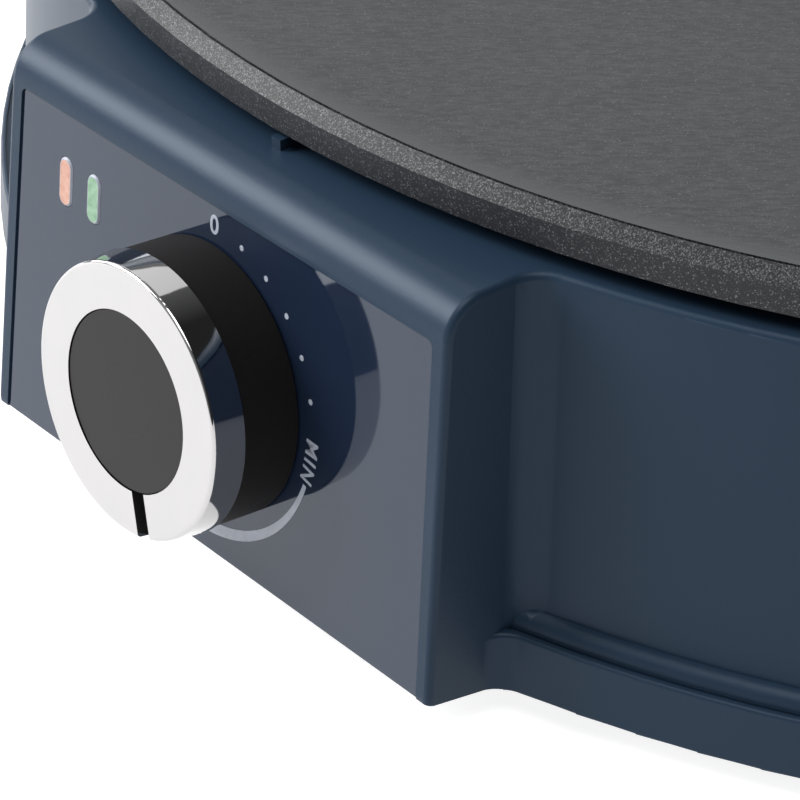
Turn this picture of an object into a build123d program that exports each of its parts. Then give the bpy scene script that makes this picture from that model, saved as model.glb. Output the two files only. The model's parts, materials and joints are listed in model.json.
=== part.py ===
from build123d import *

import os
from math import cos, radians, sin, tan

os.makedirs("parts", exist_ok=True)

# Electric crepe maker. Millimetres, +Z up. The plate's axis is X = Y = 0 and the
# table is Z = 0. The control box and its knob face -Y.

# ----------------------------------------------------------- sizes: whole object
plate_rim_radius = 175.6     # widest part of the plate, which the round base follows
past = 1.0                   # how far a cut runs past the surface that it opens

# ---------------------------------------------------------------- sizes: base
foot_protrusion = 4.0        # skirt's lower edge above the table
base_height = 60.8           # skirt's lower edge to the deck under the plate
base_wall = 2.6
deck_thickness = 2.6

drum_margin = 0.6            # deck's edge beyond the plate's rim
drum_flare = 3.2             # how much wider the drum is where it meets the ledge
ledge_width = 3.8            # drum's foot to the skirt's lip
skirt_flare = 0.6            # how much wider the skirt is at its lower edge
skirt_height = 8.8
skirt_lip_round = 0.6
skirt_foot_round = 0.3
ledge_groove_width = 0.8
ledge_groove_depth = 0.4
ledge_groove_inset = 0.7     # from the lip to the groove

ledge_fillet = 2.2
deck_edge_round = 1.0

panel_tilt = 4.9             # degrees that the front leans back
box_projection = 5.9         # front's foot beyond the skirt's lower edge
box_half_width_top = 47.4
box_side_draft = 2.2         # how much wider each side is at the lower edge
box_front_wall = 3.6
box_front_round = 6.0
box_foot_round = 3.0
box_foot_lift = 2.4          # front's foot above the skirt's lower edge
box_foot_run = 13.7          # front to where the underside starts to rise
box_overlap = 56.0           # how far the box runs back into the drum
junction_round_top = 5.0     # inside corner of the box and the drum
junction_round_foot = 4.0    # inside corner of the box and the skirt

bowl_inset = 18.2            # deck's edge to the well that holds the reflector
bowl_flare = 6.0             # how much narrower the well is at its floor
bowl_depth = 26.0
bowl_round = 5.0

boss_radius = 4.8            # screw posts that carry the bottom cover
boss_inset = 5.6             # deck's edge to the posts' centres
boss_count = 6
boss_first_angle = 0.0
screw_pilot_radius = 1.5
rib_count = 12
rib_thickness = 2.0
rib_drop = 12.0

lug_width = 1.9              # spacer lugs on the deck under the plate's edge
lug_depth = 5.0
lug_inset = 0.6              # lug's front behind the drum's top edge
lug_clearance = 0.8
lug_angles = (-89.6, 30.4, 150.4)

# --------------------------------------------------------------- sizes: plate
plate_gap = 2.4              # deck to the plate's lower edge
plate_wall_draft = 0.6
plate_wall_height = 4.4
plate_bevel_height = 1.85
plate_bevel_width = 2.2
plate_web = 4.2              # thickness over the recessed underside
plate_rim_wall = 5.5
plate_under_draft = 1.0
line_width = 0.5             # fine line between the cooking face and the bevel
line_depth = 0.35
face_land = 2.4              # turned land just inside the line
face_recess = 0.15           # cooking face below the land

element_inset = 37.0         # well's floor edge to the element's ring
element_rod_radius = 3.5
element_gap_angle = 16.0     # open part of the ring, at the back
element_bend = 9.0
element_clearance = 0.15
element_pin_radius = 1.2
element_pin_length = 8.0
element_bush_radius = 5.0    # ceramic bushes in the well's floor
element_bush_flange = 7.0
element_bush_thickness = 2.0
bush_gap = 0.1
channel_wall = 2.0
channel_depth = 5.0

stud_inset = 45.0            # element's ring to the studs
stud_count = 3
stud_first_angle = 90.0
stud_radius = 2.5
stud_boss_radius = 7.0
stud_boss_drop = 7.0
stud_engagement = 5.0
stud_clearance = 0.06
stud_tail = 9.0
spacer_radius = 6.0
spacer_bore_clearance = 0.2
nut_height = 4.0
nut_half_flats = 4.0
washer_radius = 5.0
washer_thickness = 1.0

reflector_gap = 6.0          # to the well's floor edge
reflector_lift = 8.0         # above the well's floor
reflector_thickness = 0.8
reflector_rim = 7.0
reflector_hole_margin = 3.0

# --------------------------------------------------------------- sizes: panel
overlay_thickness = 1.2
overlay_drop = 6.0           # below the deck, up the front
overlay_bottom = 2.4         # above the skirt's lower edge, up the front
overlay_margin = 2.7         # box's side to the panel's edge
overlay_corner = 1.0         # upper corners, the lower ones are square
overlay_gap = 0.1
overlay_sink = 0.3           # panel's face behind the front

window_height = 7.5
window_width = 3.0
window_drop = 10.4           # panel's top to the middle of the windows
window_inset = 10.6          # panel's left edge to the first window
window_pitch = 6.6
window_clearance = 0.08
lens_flange = 1.0
lens_flange_thickness = 1.0
lens_dome = 0.25
lens_taper = 45.0

knob_raise = 0.8             # knob's axis above the panel's middle
knob_radius = 19.8
knob_lift = 0.3              # running gap to the panel
knob_body_height = 9.4
ring_back_radius = 20.1
ring_front_radius = 19.6
ring_front_round = 0.5
ring_height = 14.3           # panel to the ring's face
ring_face_thickness = 1.6
ring_side_thickness = 1.5
ring_inner_radius = 13.0
cap_radius = 12.9
cap_recess = 0.15
cap_edge_round = 0.15
pointer_width = 2.7
pointer_angle = 164.0        # clockwise from the top, as the knob stands
knob_wall = 2.2
knob_front_thickness = 2.4
knob_rib = 1.4
hub_radius = 6.0
hub_start = 1.0

shaft_radius = 3.0
shaft_flat = 1.2             # depth of the D flat
shaft_reach = 10.7           # beyond the panel's face
shaft_fit = 0.05
hub_fit = 0.06
bush_radius = 4.2
bush_hole_clearance = 0.3
bush_stop = 0.4              # bush's end behind the panel's face

# --------------------------------------------------------- sizes: inside parts
bracket_thickness = 1.5
bracket_half_width = 23.2
bracket_half_height = 9.0
bracket_corner = 2.0
bracket_screw_x = 20.0
thermostat_size = 34.0
thermostat_depth = 20.0
thermostat_corner = 3.0
terminal_tab = (6.3, 0.8, 7.0)
shaft_inside = 7.0
capillary_radius = 0.9
capillary_hole_radius = 1.8
capillary_bend = 4.5
capillary_slope = 1.5        # run over rise where it climbs to the plate
capillary_level_drop = 8.0   # below the deck where it crosses into the bowl
bulb_radius = 3.0
bulb_length = 72.0
bulb_end_round = 1.8
bulb_end_chamfer = 1.2
bulb_x = -9.0
bulb_inset = 31.0            # element's ring to the front end of the bulb
bulb_clearance = 0.15
clip_thickness = 0.8
clip_width = 14.0
clip_foot = 7.0

lamp_radius = 2.4
lamp_length = 13.0
lamp_round = 1.9
lamp_fit = 0.15
holder_depth = 15.0
holder_height = 11.0
holder_margin = 4.0
holder_corner = 1.0

cutout_radius = 7.5          # safety cut-out under the plate
cutout_height = 7.5
cutout_x = 26.0
cutout_y = 22.0
cutout_plate = (30.0, 9.0, 1.0)

block_size = (34.0, 18.0, 15.0)  # mains terminal block
block_inset = 14.0           # well's floor edge to the block's middle
block_ways = 3
block_bore = 2.0
block_corner = 1.5

gland_level = 20.0           # cord gland above the skirt's lower edge
gland_bore_radius = 3.6
gland_neck_radius = 5.6
gland_flange_radius = 8.5
gland_flange_thickness = 2.4
gland_chamfer = 1.0
gland_inner_length = 7.0
gland_hole_clearance = 0.1

cover_thickness = 1.2
cover_clearance = 0.4
cover_rise = 2.0             # cover's underside above the skirt's lower edge
vent_length = 26.0
vent_width = 3.0
vent_inset = 19.0            # element's ring to the middle of the vents
vent_count = 12

foot_radius = 9.0
foot_inset = 33.8            # skirt's lower edge to the feet's centres
foot_neck_radius = 3.8
foot_hole_clearance = 0.15
foot_head_radius = 5.0
foot_head_height = 2.4
foot_draft = 1.0

screw_head_radius = 3.2
screw_head_height = 1.8
screw_radius = 1.4
screw_length = 9.0
bracket_screw_length = 3.2
screw_gap = 0.1
countersink_taper = 45.0
under_head_radius = 2.6      # small pan heads under the plate and the block
under_screw_depth = 2.8
under_screw_end = 0.2

# ------------------------------------------------------------- worked-out radii
plate_foot_radius = plate_rim_radius - plate_wall_draft
drum_top_radius = plate_rim_radius + drum_margin
drum_foot_radius = drum_top_radius + drum_flare
skirt_lip_radius = drum_foot_radius + ledge_width
skirt_foot_radius = skirt_lip_radius + skirt_flare
panel_reach = skirt_foot_radius + box_projection
box_wall_behind = box_front_wall + overlay_sink
box_back_reach = drum_top_radius - box_overlap
bowl_top_radius = drum_top_radius - bowl_inset
bowl_floor_radius = bowl_top_radius - bowl_flare
boss_circle = drum_top_radius - boss_inset
element_radius = bowl_floor_radius - element_inset
stud_circle = element_radius - stud_inset
reflector_radius = bowl_floor_radius - reflector_gap
vent_circle = element_radius - vent_inset
foot_circle = skirt_foot_radius - foot_inset
bulb_end_reach = element_radius - bulb_inset
block_y = bowl_floor_radius - block_inset

# ------------------------------------------------- worked-out places on the front
box_half_width_foot = box_half_width_top + box_side_draft
overlay_top = base_height - overlay_drop
overlay_half_width_top = box_half_width_top - overlay_margin
overlay_half_width_foot = box_half_width_foot - overlay_margin
window_level = overlay_top - window_drop
window_first = window_inset - overlay_half_width_top
window_centres = (window_first, window_first + window_pitch)
knob_level = (overlay_top + overlay_bottom) / 2 + knob_raise

# ------------------------------------------------------------ worked-out levels
skirt_z = foot_protrusion
ledge_z = skirt_z + skirt_height
deck_z = skirt_z + base_height
plate_foot_z = deck_z + plate_gap
plate_bevel_z = plate_foot_z + plate_wall_height
plate_top_z = plate_bevel_z + plate_bevel_height
plate_under_z = plate_top_z - plate_web
line_radius = plate_rim_radius - plate_bevel_width
bowl_floor_z = deck_z - bowl_depth
bowl_under_z = bowl_floor_z - deck_thickness
reflector_z = bowl_floor_z + reflector_lift
reflector_top_z = reflector_z + reflector_thickness
stud_boss_z = plate_under_z - stud_boss_drop
element_z = plate_under_z - element_rod_radius - element_clearance
cover_z = skirt_z + cover_rise
cover_top_z = cover_z + cover_thickness

# Plane of the inlaid panel's face: its Y runs up the leaning front, its Z out towards
# the user.
panel = Plane(
    origin=(0, -panel_reach + overlay_sink / cos(radians(panel_tilt)), skirt_z),
    x_dir=(1, 0, 0),
    z_dir=(0, -cos(radians(panel_tilt)), sin(radians(panel_tilt))),
)
knob_origin = panel.from_local_coords(Vector(0, knob_level, 0))
dial = Plane(origin=knob_origin, x_dir=(1, 0, 0), z_dir=panel.z_dir)


def front_y(z):
    """Y of the leaning front at a height above the table."""
    return -panel_reach + (z - skirt_z) * tan(radians(panel_tilt))


def box_half_width(z):
    """Half the control box's width at a height above the table."""
    share = (z - skirt_z) / base_height
    return box_half_width_foot + (box_half_width_top - box_half_width_foot) * share


def drum_radius(z):
    """Radius of the drum's outer wall at a height above the table."""
    share = (z - ledge_z) / (deck_z - ledge_z)
    return drum_foot_radius + (drum_top_radius - drum_foot_radius) * share


def save(part, name):
    """Label a finished piece and write its STEP file."""
    part.label = name
    export_step(part, f"parts/{name}.step")


def polar(radius, angle, z=0.0):
    """Point at a radius and an angle about the plate's axis."""
    return (radius * cos(radians(angle)), radius * sin(radians(angle)), z)


# ------------------------------------------------------------------ base housing
def base_form(low, high, low_radius, high_radius, side, front, junction):
    """Drum or skirt with the control box, its inside corners rounded."""
    with BuildPart() as form:
        with BuildSketch(Plane.XZ):
            with BuildLine():
                Polyline((0, low), (low_radius, low), (high_radius, high), (0, high), close=True)
            make_face()
        revolve(axis=Axis.Z)
        for z in (low, high):
            with BuildSketch(Plane.XY.offset(z)):
                half = box_half_width(z) - side
                with BuildLine():
                    Polyline(
                        (-half, -box_back_reach),
                        (-half, front_y(z) + front),
                        (half, front_y(z) + front),
                        (half, -box_back_reach),
                        close=True,
                    )
                make_face()
        loft(ruled=True)
        if junction:
            near = box_half_width(high) - side - junction
            far = box_half_width(low) + junction
            corners = (
                form.edges()
                .filter_by(lambda e: e.bounding_box().size.Z > (high - low) / 2)
                .filter_by(lambda e: front_y(high) + front < e.center().Y < 0)
                .filter_by(lambda e: near < abs(e.center().X) < far)
            )
            fillet(corners, junction)
    return form.part


def skirt_outline():
    """Skirt with its lip rounded and the fine groove behind the lip."""
    with BuildPart() as skirt:
        behind = box_foot_round + deck_edge_round
        add(base_form(skirt_z, ledge_z, skirt_foot_radius, skirt_lip_radius, 0, behind, junction_round_foot))
        fillet(skirt.faces().sort_by(Axis.Z)[-1].outer_wire().edges(), skirt_lip_round)
        fillet(skirt.faces().sort_by(Axis.Z)[0].outer_wire().edges(), skirt_foot_round)
        groove_outer = skirt_lip_radius - ledge_groove_inset
        with BuildSketch(Plane.XY.offset(ledge_z)):
            Circle(groove_outer)
            Circle(groove_outer - ledge_groove_width, mode=Mode.SUBTRACT)
        extrude(amount=-ledge_groove_depth, mode=Mode.SUBTRACT)
    return skirt.part


def drum_outline():
    """Drum wall and control box over their whole height, with rounded edges."""
    outset = drum_radius(skirt_z)
    with BuildPart() as drum:
        add(base_form(skirt_z, deck_z, outset, drum_top_radius, 0, 0, junction_round_top))
        across = drum.edges().filter_by(Axis.X).filter_by(lambda e: e.center().Y < -box_back_reach)
        fillet(across.sort_by(Axis.Z)[-1], box_front_round)
        across = drum.edges().filter_by(Axis.X).filter_by(lambda e: e.center().Y < -box_back_reach)
        fillet(across.sort_by(Axis.Z)[0], box_foot_round)
        rim = drum.faces().sort_by(Axis.Z)[-1].outer_wire().edges()
        behind = front_y(deck_z) + box_front_round
        rim = rim.filter_by(lambda e: e.length > deck_edge_round and e.center().Y > behind)
        fillet(rim, deck_edge_round)
    return drum.part


def overlay_outline(grow, drop):
    """Outline of the inlaid panel, grown at its sides and top and let down at its foot."""
    slant = (overlay_half_width_foot - overlay_half_width_top) / (overlay_top - overlay_bottom)
    foot_reach = overlay_half_width_foot + grow + drop * slant
    with BuildSketch() as outline:
        with BuildLine():
            Polyline(
                (-foot_reach, overlay_bottom - drop),
                (-overlay_half_width_top - grow, overlay_top + grow),
                (overlay_half_width_top + grow, overlay_top + grow),
                (foot_reach, overlay_bottom - drop),
                close=True,
            )
        make_face()
        fillet(outline.vertices().group_by(Axis.Y)[-1], overlay_corner + grow)
    return outline.sketch


def window_outline(grow):
    """The two upright pill-shaped lamp windows, grown by a clearance."""
    with BuildSketch() as outline:
        with Locations(*[(x, window_level) for x in window_centres]):
            SlotOverall(window_height + 2 * grow, window_width + 2 * grow, rotation=90)
    return outline.sketch


# Where things pass through the deck's well.
gland_z = skirt_z + gland_level
capillary_z = deck_z - capillary_level_drop
bulb_z = plate_under_z - bulb_radius - bulb_clearance
element_half_gap = radians(element_gap_angle / 2)
element_end_x = element_radius * sin(element_half_gap)
element_end_y = element_radius * cos(element_half_gap)
element_leg_x = element_end_x - element_bend * cos(element_half_gap)
element_leg_y = element_end_y + element_bend * sin(element_half_gap)
element_legs = [(element_leg_x, element_leg_y), (-element_leg_x, element_leg_y)]
bowl_slope = (bowl_top_radius - bowl_floor_radius) / bowl_depth
clip_y = bulb_length / 2 - bulb_end_reach
clip_inner = bulb_radius + bulb_clearance
clip_outer = clip_inner + clip_thickness
clip_screw_offset = clip_outer + clip_foot / 2
cutout_screw_offset = (cutout_plate[0] - cutout_plate[1]) / 2
under_screws = [
    (bulb_x - clip_screw_offset, clip_y),
    (bulb_x + clip_screw_offset, clip_y),
    (cutout_x - cutout_screw_offset, cutout_y),
    (cutout_x + cutout_screw_offset, cutout_y),
]
block_pitch = block_size[0] / block_ways
block_screw_x = block_pitch / 2

with BuildPart() as base_housing:
    add(drum_outline())
    add(skirt_outline())
    # Small inside fillet where the drum's wall stands on the ledge.
    with BuildSketch(Plane.XZ):
        corner = drum_radius(ledge_z)
        with BuildLine():
            edge = Line((corner - ledge_fillet, ledge_z), (corner + ledge_fillet, ledge_z))
            curve = RadiusArc(edge @ 1, (corner, ledge_z + ledge_fillet), -ledge_fillet)
            Polyline(curve @ 1, (corner - ledge_fillet, ledge_z + ledge_fillet), edge @ 0)
        make_face()
    revolve(axis=Axis.Z)
    # Underside of the box, which rises from the skirt to the front's foot.
    with BuildSketch(Plane.YZ):
        with BuildLine():
            Polyline(
                (box_foot_run - panel_reach, skirt_z),
                (-panel_reach, skirt_z + box_foot_lift),
                (-panel_reach - past, skirt_z + box_foot_lift),
                (-panel_reach - past, skirt_z),
                close=True,
            )
        make_face()
    extrude(amount=box_half_width_foot + past, both=True, mode=Mode.SUBTRACT)
    # Hollow of the drum and box, then the hollow of the skirt.
    hollow_top = deck_z - deck_thickness
    below = skirt_z - past
    add(
        base_form(
            below,
            hollow_top,
            drum_radius(below) - base_wall,
            drum_radius(hollow_top) - base_wall,
            base_wall,
            box_wall_behind,
            junction_round_top + base_wall,
        ),
        mode=Mode.SUBTRACT,
    )
    skirt_inner = skirt_lip_radius - base_wall
    add(
        base_form(below, ledge_z - base_wall, skirt_inner, skirt_inner, base_wall, box_wall_behind, 0),
        mode=Mode.SUBTRACT,
    )
    # Outside of the well that holds the reflector, let into the deck.
    with BuildSketch(Plane.XZ):
        with BuildLine():
            Polyline(
                (0, bowl_under_z),
                (bowl_floor_radius + deck_thickness, bowl_under_z),
                (bowl_top_radius + deck_thickness, hollow_top),
                (bowl_top_radius + deck_thickness, deck_z),
                (0, deck_z),
                close=True,
            )
        make_face()
    revolve(axis=Axis.Z)
    # Screw posts from the deck down to the cover, and ribs between well and wall.
    with BuildSketch(Plane.XY.offset(cover_top_z)):
        with PolarLocations(boss_circle, boss_count, start_angle=boss_first_angle):
            Circle(boss_radius)
    extrude(amount=hollow_top - cover_top_z)
    rib_inner = bowl_top_radius - bowl_slope * (rib_drop + deck_thickness) + deck_thickness / 2
    rib_outer = drum_top_radius - base_wall / 2
    with BuildSketch(Plane.XY.offset(hollow_top)):
        with PolarLocations((rib_inner + rib_outer) / 2, rib_count, start_angle=180.0 / rib_count):
            Rectangle(rib_outer - rib_inner, rib_thickness)
    extrude(amount=-rib_drop)
    # Inside of the well.
    with BuildSketch(Plane.XZ):
        with BuildLine():
            Polyline(
                (0, bowl_floor_z),
                (bowl_floor_radius, bowl_floor_z),
                (bowl_top_radius, deck_z),
                (0, deck_z),
                close=True,
            )
        make_face()
        fillet(vertices().group_by(Axis.X)[-2], bowl_round)
    revolve(axis=Axis.Z, mode=Mode.SUBTRACT)
    # Spacer lugs under the plate's edge.
    with BuildSketch(Plane.XY.offset(deck_z)):
        lug_circle = drum_top_radius - lug_inset - lug_depth / 2
        with PolarLocations(lug_circle, len(lug_angles), start_angle=lug_angles[0]):
            Rectangle(lug_depth, lug_width)
    extrude(amount=plate_gap - lug_clearance)
    # Pilot holes of the cover's screws.
    with BuildSketch(Plane.XY.offset(cover_top_z)):
        with PolarLocations(boss_circle, boss_count, start_angle=boss_first_angle):
            Circle(screw_pilot_radius)
    extrude(amount=screw_length + past, mode=Mode.SUBTRACT)
    # Well floor: stud holes, the heating element's two bushes and the block's screw.
    with BuildSketch(Plane.XY.offset(bowl_floor_z)):
        with PolarLocations(stud_circle, stud_count, start_angle=stud_first_angle):
            Circle(stud_radius + spacer_bore_clearance)
        with Locations(*element_legs):
            Circle(element_bush_radius + bush_gap)
        with Locations((block_screw_x, block_y)):
            Circle(screw_pilot_radius)
    extrude(amount=-deck_thickness, mode=Mode.SUBTRACT)
    # Well wall: the thermostat's capillary tube.
    with BuildSketch(Plane(origin=(bulb_x, -bowl_floor_radius, capillary_z), z_dir=(0, -1, 0))):
        Circle(capillary_hole_radius)
    extrude(amount=bowl_top_radius - bowl_floor_radius + 3 * deck_thickness, mode=Mode.SUBTRACT)
    # Leaning front: recess of the inlaid panel, lamp windows, thermostat bush and screws.
    with BuildSketch(panel.offset(-overlay_thickness)):
        add(overlay_outline(overlay_gap, box_foot_lift + past))
    extrude(amount=overlay_thickness + overlay_sink + past, mode=Mode.SUBTRACT)
    with BuildSketch(panel):
        add(window_outline(window_clearance))
        with Locations((0, knob_level)):
            Circle(bush_radius + bush_hole_clearance)
    extrude(amount=-2 * box_front_wall, mode=Mode.SUBTRACT)
    with Locations(panel.offset(-overlay_thickness)):
        with Locations((-bracket_screw_x, knob_level), (bracket_screw_x, knob_level)):
            CounterSinkHole(screw_radius + screw_gap, screw_head_radius, depth=box_front_wall)
    # Back wall: cord gland.
    with BuildSketch(Plane(origin=(0, drum_foot_radius + past, gland_z), z_dir=(0, 1, 0))):
        Circle(gland_neck_radius + gland_hole_clearance)
    extrude(amount=-4 * base_wall, mode=Mode.SUBTRACT)

save(base_housing.part, "base_housing")


# ------------------------------------------------------------------ bottom cover
with BuildPart() as bottom_cover:
    cover_radius = skirt_inner - cover_clearance
    cover_side = base_wall + cover_clearance
    cover_front = box_wall_behind + cover_clearance
    add(base_form(cover_z, cover_top_z, cover_radius, cover_radius, cover_side, cover_front, 0))
    with BuildSketch(Plane.XY.offset(cover_z)):
        with PolarLocations(boss_circle, boss_count, start_angle=boss_first_angle):
            Circle(screw_pilot_radius + screw_gap)
        with PolarLocations(foot_circle, 4, start_angle=45):
            Circle(foot_neck_radius + foot_hole_clearance)
        with PolarLocations(vent_circle, vent_count):
            SlotOverall(vent_length, vent_width)
    extrude(amount=cover_thickness, mode=Mode.SUBTRACT)

save(bottom_cover.part, "bottom_cover")

foot_names = ("foot_back_right", "foot_back_left", "foot_front_left", "foot_front_right")
for number, foot_name in enumerate(foot_names):
    foot_x, foot_y, _ = polar(foot_circle, 45 + 90 * number)
    with BuildPart() as foot:
        with BuildSketch(Plane(origin=(foot_x, foot_y, 0), x_dir=(1, 0, 0), z_dir=(0, -1, 0))):
            with BuildLine():
                Polyline(
                    (0, 0),
                    (foot_radius - foot_draft, 0),
                    (foot_radius, foot_draft),
                    (foot_radius, cover_z),
                    (foot_neck_radius, cover_z),
                    (foot_neck_radius, cover_top_z),
                    (foot_head_radius, cover_top_z),
                    (foot_neck_radius - foot_draft, cover_top_z + foot_head_height),
                    (0, cover_top_z + foot_head_height),
                    close=True,
                )
            make_face()
        revolve(axis=Axis((foot_x, foot_y, 0), (0, 0, 1)))
    save(foot.part, foot_name)

with BuildPart() as cover_screws:
    with BuildSketch(Plane.XY.offset(cover_z)):
        with PolarLocations(boss_circle, boss_count, start_angle=boss_first_angle):
            Circle(screw_head_radius)
    extrude(amount=-screw_head_height)
    fillet(cover_screws.edges().group_by(Axis.Z)[0], screw_head_height / 2)
    with BuildSketch(Plane.XY.offset(cover_z)):
        with PolarLocations(boss_circle, boss_count, start_angle=boss_first_angle):
            Circle(screw_radius)
    extrude(amount=cover_thickness + screw_length)

save(cover_screws.part, "cover_screws")


# ----------------------------------------------------------------- cooking plate
with BuildPart() as cooking_plate:
    with BuildSketch(Plane.XZ):
        line_inner = line_radius - line_width / 2
        line_outer = line_radius + line_width / 2
        rim_inner = plate_foot_radius - plate_rim_wall
        face_z = plate_top_z - face_recess
        with BuildLine():
            Polyline(
                (0, face_z),
                (line_inner - face_land, face_z),
                (line_inner - face_land + face_recess, plate_top_z),
                (line_inner, plate_top_z),
                (line_inner, plate_top_z - line_depth),
                (line_outer, plate_top_z - line_depth),
                (line_outer, plate_top_z),
                (plate_rim_radius, plate_bevel_z),
                (plate_foot_radius, plate_foot_z),
                (rim_inner, plate_foot_z),
                (rim_inner - plate_under_draft, plate_under_z),
                (0, plate_under_z),
                close=True,
            )
        make_face()
    revolve(axis=Axis.Z)
    # Two ring walls that hold the heating element, open where its ends turn down.
    channel_half = element_rod_radius + element_clearance
    with BuildSketch(Plane.XY.offset(plate_under_z)):
        Circle(element_radius + channel_half + channel_wall)
        Circle(element_radius + channel_half, mode=Mode.SUBTRACT)
        Circle(element_radius - channel_half)
        Circle(element_radius - channel_half - channel_wall, mode=Mode.SUBTRACT)
        with Locations((0, element_radius)):
            Rectangle(2 * element_end_x, 4 * channel_half, mode=Mode.SUBTRACT)
    extrude(amount=-channel_depth)
    # Bosses of the three studs.
    with BuildSketch(Plane.XY.offset(plate_under_z)):
        with PolarLocations(stud_circle, stud_count, start_angle=stud_first_angle):
            Circle(stud_boss_radius)
    extrude(amount=-stud_boss_drop)
    with BuildSketch(Plane.XY.offset(stud_boss_z)):
        with PolarLocations(stud_circle, stud_count, start_angle=stud_first_angle):
            Circle(stud_radius + stud_clearance)
    extrude(amount=stud_engagement, mode=Mode.SUBTRACT)
    # Screw holes for the sensor's clip and the safety cut-out.
    with BuildSketch(Plane.XY.offset(plate_under_z)):
        with Locations(*under_screws):
            Circle(screw_radius + stud_clearance)
    extrude(amount=under_screw_depth, mode=Mode.SUBTRACT)

save(cooking_plate.part, "cooking_plate")


# --------------------------------------------------------------- heating element
with BuildPart() as heating_element:
    start = 90 + element_gap_angle / 2
    ring_start = polar(element_radius, start, element_z)
    with BuildSketch(Plane(origin=ring_start, x_dir=polar(1, start), z_dir=polar(1, start + 90))):
        Circle(element_rod_radius)
    revolve(axis=Axis.Z, revolution_arc=360 - element_gap_angle)
    for side in (1, -1):
        angle = 90 - side * element_gap_angle / 2
        outward = Vector(*polar(1, angle))
        along = Vector(*polar(1, angle + side * 90))
        end = outward * element_radius + Vector(0, 0, element_z)
        pivot = end - Vector(0, 0, element_bend)
        with BuildSketch(Plane(origin=end, x_dir=outward, z_dir=along)):
            Circle(element_rod_radius)
        revolve(axis=Axis(pivot, outward * -side), revolution_arc=90)
        foot_of_bend = pivot + along * element_bend
        leg_length = foot_of_bend.Z - bowl_under_z + element_bend
        with BuildSketch(Plane(origin=foot_of_bend)):
            Circle(element_rod_radius)
        extrude(amount=-leg_length)
        with BuildSketch(Plane(origin=foot_of_bend - Vector(0, 0, leg_length))):
            Circle(element_pin_radius)
        extrude(amount=-element_pin_length)

save(heating_element.part, "heating_element")

with BuildPart() as element_bushes:
    bush_levels = (
        (bowl_floor_z, element_bush_flange, element_bush_thickness),
        (bowl_floor_z, element_bush_radius, -deck_thickness - element_bush_thickness),
    )
    for level, outer, tall in bush_levels:
        with BuildSketch(Plane.XY.offset(level)):
            with Locations(*element_legs):
                Circle(outer)
                Circle(element_rod_radius + bush_gap, mode=Mode.SUBTRACT)
        extrude(amount=tall)

save(element_bushes.part, "element_bushes")


# --------------------------------------------------- reflector, studs and spacers
with BuildPart() as reflector:
    with BuildSketch(Plane.XZ):
        rim_top = reflector_z + reflector_rim + reflector_thickness / 2
        with BuildLine():
            Polyline(
                (0, reflector_z),
                (reflector_radius - reflector_rim, reflector_z),
                (reflector_radius, reflector_z + reflector_rim),
                (reflector_radius - reflector_thickness, rim_top),
                (reflector_radius - reflector_rim - reflector_thickness / 2, reflector_top_z),
                (0, reflector_top_z),
                close=True,
            )
        make_face()
    revolve(axis=Axis.Z)
    with BuildSketch(Plane.XY.offset(reflector_z)):
        with PolarLocations(stud_circle, stud_count, start_angle=stud_first_angle):
            Circle(stud_radius + spacer_bore_clearance)
        with Locations((0, element_leg_y)):
            SlotCenterToCenter(2 * element_leg_x, 2 * (element_rod_radius + reflector_hole_margin))
    extrude(amount=reflector_thickness, mode=Mode.SUBTRACT)

save(reflector.part, "reflector")


def stud_tubes(name, low, high, outer, inner):
    """Like round pieces on the three plate studs, as one group."""
    with BuildPart() as tubes:
        with BuildSketch(Plane.XY.offset(low)):
            with PolarLocations(stud_circle, stud_count, start_angle=stud_first_angle):
                Circle(outer)
                if inner:
                    Circle(inner, mode=Mode.SUBTRACT)
        extrude(amount=high - low)
    save(tubes.part, name)


spacer_bore = stud_radius + spacer_bore_clearance
washer_z = bowl_under_z - washer_thickness
nut_z = washer_z - nut_height
stud_tubes("lower_spacers", bowl_floor_z, reflector_z, spacer_radius, spacer_bore)
stud_tubes("upper_spacers", reflector_top_z, stud_boss_z, spacer_radius, spacer_bore)
stud_tubes("plate_washers", washer_z, bowl_under_z, washer_radius, spacer_bore)
stud_end_z = stud_boss_z + stud_engagement - stud_clearance
stud_tubes("plate_studs", bowl_under_z - stud_tail, stud_end_z, stud_radius, 0)

with BuildPart() as plate_nuts:
    with BuildSketch(Plane.XY.offset(nut_z)):
        with PolarLocations(stud_circle, stud_count, start_angle=stud_first_angle):
            RegularPolygon(nut_half_flats, 6, major_radius=False)
            Circle(stud_radius + stud_clearance, mode=Mode.SUBTRACT)
    extrude(amount=nut_height)

save(plate_nuts.part, "plate_nuts")


# ------------------------------------------------- temperature sensor and cut-out
with BuildPart() as sensor_bulb:
    with BuildSketch(Plane(origin=(bulb_x, -bulb_end_reach, bulb_z), z_dir=(0, 1, 0))):
        Circle(bulb_radius)
    extrude(amount=bulb_length)
    fillet(sensor_bulb.edges().group_by(Axis.Y)[-1], bulb_end_round)
    chamfer(sensor_bulb.edges().group_by(Axis.Y)[0], bulb_end_chamfer)

save(sensor_bulb.part, "sensor_bulb")

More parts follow.
